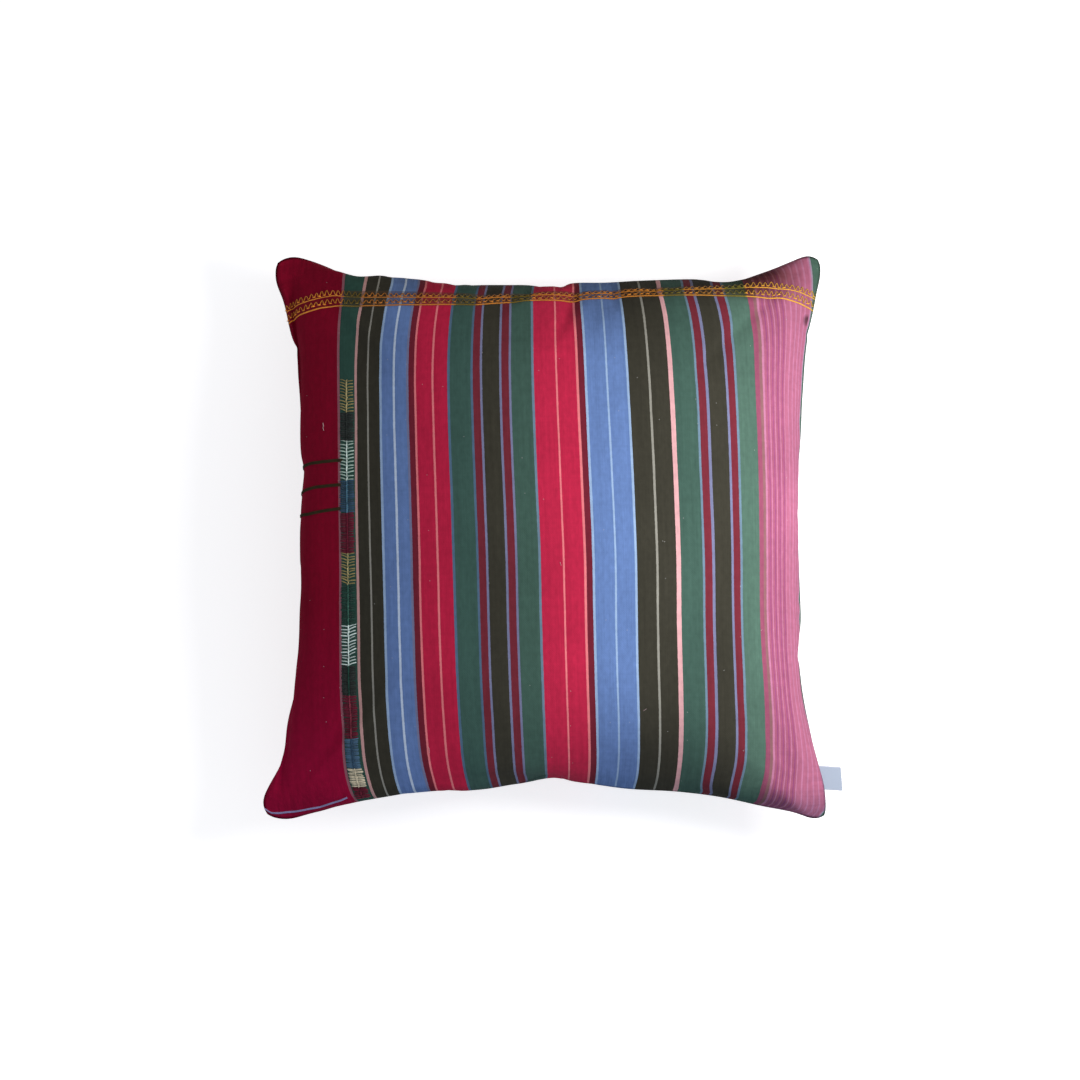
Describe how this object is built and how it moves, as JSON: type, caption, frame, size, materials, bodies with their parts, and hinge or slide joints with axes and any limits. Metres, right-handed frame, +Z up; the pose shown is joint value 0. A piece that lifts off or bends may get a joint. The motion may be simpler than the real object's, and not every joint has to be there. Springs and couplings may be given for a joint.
{
  "type": "decorative cushion",
  "caption": "Square filled scatter cushion in hand-woven striped cloth, crowned in the middle, with drawn-in sides and a small folded side label.",
  "frame": {"origin": "on the floor, under the middle of the bounding box", "axes": "+X across the stripes, towards the side with the label; +Y up the stripes, towards the embroidered band; +Z up, out of the face"},
  "size_m": [0.5044, 0.5002, 0.166],
  "materials": {
    "woven_cover": "matte warp-striped hand-woven cotton",
    "label_ribbon": "smooth pale satin ribbon, bare"
  },
  "bodies": {
    "root": {"cushion": "woven_cover", "side_label": "label_ribbon"}
  },
  "joints": []
}
